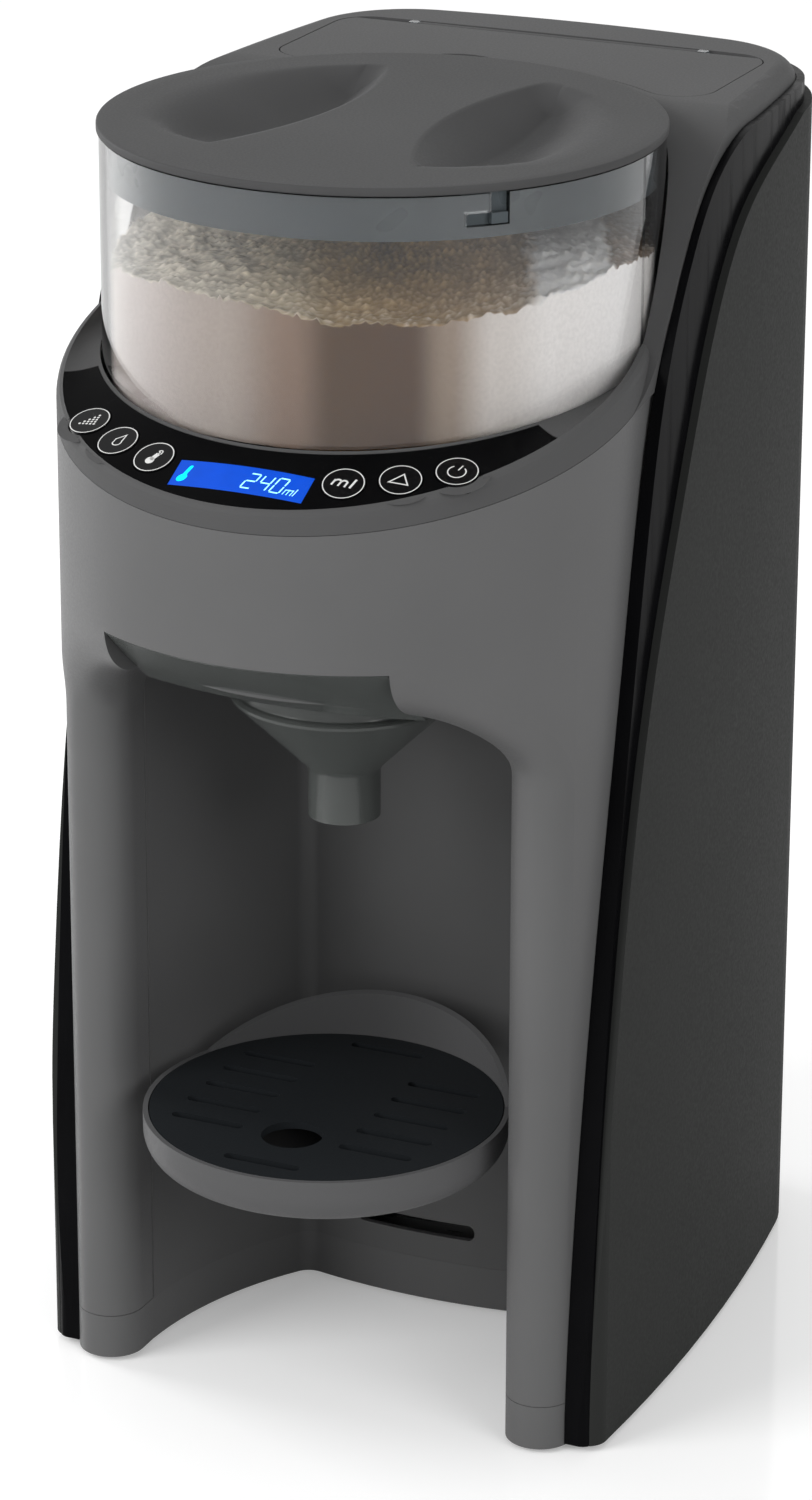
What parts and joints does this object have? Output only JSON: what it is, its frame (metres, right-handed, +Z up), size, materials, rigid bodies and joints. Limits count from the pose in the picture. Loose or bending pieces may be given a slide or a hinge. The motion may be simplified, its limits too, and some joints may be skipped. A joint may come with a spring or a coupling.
{
  "type": "baby formula maker",
  "caption": "Countertop formula maker: round clear powder container over an arched bottle bay with drip tray and mixing funnel, slanted control ring, tall dark casing with rear water tank.",
  "frame": {"origin": "centre of the footprint at the underside of the feet", "axes": "+Z up, -Y towards the bottle bay at the front, +X to the machine's left seen from the back (right seen from the front)"},
  "size_m": [0.182, 0.258, 0.3778],
  "materials": {
    "shell_grey": "satin",
    "cover_grey": "satin",
    "foot_rubber": "matt",
    "liner_grey": "satin",
    "gloss_black": "gloss",
    "casing_dark": "matt",
    "display_blue": "gloss, lit",
    "board_green": "matt",
    "dome_rubber": "matt",
    "clear_container": "clear moulded plastic",
    "lid_grey": "satin",
    "lid_band": "translucent",
    "seal_silicone": "matt",
    "dosing_white": "satin",
    "formula_cream": "loose milk powder",
    "gear_nylon": "satin",
    "motor_steel": "brushed",
    "funnel_smoke": "smoky moulded plastic",
    "tray_grey": "satin",
    "grille_dark": "satin",
    "tank_smoke": "tinted moulded plastic",
    "pin_steel": "drawn wire",
    "valve_white": "satin",
    "supply_case": "matt",
    "pump_black": "satin",
    "heater_metal": "cast",
    "hose_silicone": "matt",
    "button_black": "satin"
  },
  "bodies": {
    "machine": {"base_ring": "shell_grey", "rubber_feet": "foot_rubber", "front_shell": "shell_grey", "bay_liner": "liner_grey", "top_cover": "cover_grey", "trim_band": "gloss_black", "rear_casing": "casing_dark", "control_panel": "gloss_black", "display_module": "display_blue", "control_board": "board_green", "key_domes": "dome_rubber", "container_seat": "liner_grey", "powder_chute": "liner_grey", "drive_plate": "motor_steel", "gear_motor": "motor_steel", "funnel_rails": "liner_grey", "chassis_plate": "motor_steel", "power_supply": "supply_case", "main_board": "board_green", "water_pump": "pump_black", "water_heater": "heater_metal", "suction_hose": "hose_silicone", "pressure_hose": "hose_silicone", "outlet_hose": "hose_silicone", "water_spout": "valve_white", "cord_gland": "pump_black", "tank_cradle": "liner_grey", "tank_seal": "seal_silicone"},
    "drive": {"drive_gear": "gear_nylon"},
    "pinion": {"motor_pinion": "gear_nylon"},
    "container": {"container_body": "clear_container", "dosing_base": "dosing_white", "dose_cover": "dosing_white", "formula_powder": "formula_cream"},
    "wheel": {"dosing_wheel": "dosing_white", "stirrer": "dosing_white"},
    "lid_ring": {"lid_seal": "seal_silicone"},
    "lid": {"lid_cap": "lid_grey", "lid_skirt": "lid_band"},
    "funnel": {"funnel": "funnel_smoke"},
    "tray": {"drip_tray": "tray_grey"},
    "grille": {"tray_grille": "grille_dark"},
    "tank": {"water_tank": "tank_smoke", "tank_hinge_pin": "pin_steel"},
    "tank_lid": {"tank_lid": "cover_grey"},
    "valve": {"tank_valve": "valve_white"},
    "key_scoop": {"button_scoop": "button_black"},
    "key_water": {"button_water": "button_black"},
    "key_warmth": {"button_warmth": "button_black"},
    "key_volume": {"button_volume": "button_black"},
    "key_start": {"button_start": "button_black"},
    "key_power": {"button_power": "button_black"}
  },
  "joints": [
    {"name": "gear_spin", "type": "hinge", "parent": "machine", "child": "drive", "pos_m": [0, -0.027, 0.24], "axis": [0, 0, 1], "continuous": true},
    {"name": "pinion_spin", "type": "hinge", "parent": "machine", "child": "pinion", "pos_m": [0, 0.015, 0.24], "axis": [0, 0, 1], "continuous": true},
    {"name": "container_lift", "type": "slide", "parent": "machine", "child": "container", "axis": [0, 0, 1], "range_m": [0, 0.14]},
    {"name": "wheel_spin", "type": "hinge", "parent": "container", "child": "wheel", "pos_m": [0, -0.027, 0.258], "axis": [0, 0, 1], "continuous": true},
    {"name": "lid_lift", "type": "slide", "parent": "container", "child": "lid_ring", "axis": [0, 0, 1], "range_m": [0, 0.06]},
    {"name": "lid_twist", "type": "hinge", "parent": "lid_ring", "child": "lid", "pos_m": [0, -0.027, 0.37], "axis": [0, 0, 1], "range_deg": [-5, 0]},
    {"name": "funnel_pull", "type": "slide", "parent": "machine", "child": "funnel", "axis": [0, -1, 0], "range_m": [0, 0.115]},
    {"name": "tray_pull", "type": "slide", "parent": "machine", "child": "tray", "axis": [0, -1, 0], "range_m": [0, 0.12]},
    {"name": "grille_lift", "type": "slide", "parent": "tray", "child": "grille", "axis": [0, 0, 1], "range_m": [0, 0.05]},
    {"name": "tank_lift", "type": "slide", "parent": "machine", "child": "tank", "axis": [0, 0, 1], "range_m": [0, 0.29]},
    {"name": "tank_lid_hinge", "type": "hinge", "parent": "tank", "child": "tank_lid", "pos_m": [0, 0.0982, 0.37365], "axis": [-1, 0, 0], "range_deg": [0, 100]},
    {"name": "valve_lift", "type": "slide", "parent": "tank", "child": "valve", "axis": [0, 0, 1], "range_m": [0, 0.0025], "stiffness_N_per_m": 80},
    {"name": "scoop_press", "type": "slide", "parent": "machine", "child": "key_scoop", "axis": [0.102, 0.3418, -0.9342], "range_m": [0, 0.0008], "stiffness_N_per_m": 500},
    {"name": "water_press", "type": "slide", "parent": "machine", "child": "key_water", "axis": [0.1088, 0.3939, -0.9127], "range_m": [0, 0.0008], "stiffness_N_per_m": 500},
    {"name": "warmth_press", "type": "slide", "parent": "machine", "child": "key_warmth", "axis": [0.0832, 0.4303, -0.8988], "range_m": [0, 0.0008], "stiffness_N_per_m": 500},
    {"name": "volume_press", "type": "slide", "parent": "machine", "child": "key_volume", "axis": [-0.0834, 0.4303, -0.8988], "range_m": [0, 0.0008], "stiffness_N_per_m": 500},
    {"name": "start_press", "type": "slide", "parent": "machine", "child": "key_start", "axis": [-0.1091, 0.3939, -0.9126], "range_m": [0, 0.0008], "stiffness_N_per_m": 500},
    {"name": "power_press", "type": "slide", "parent": "machine", "child": "key_power", "axis": [-0.1022, 0.3418, -0.9342], "range_m": [0, 0.0008], "stiffness_N_per_m": 500}
  ],
  "couplings": [
    {"joint": "pinion_spin", "follows": "gear_spin", "ratio": -2.5},
    {"joint": "wheel_spin", "follows": "gear_spin", "ratio": 1}
  ]
}
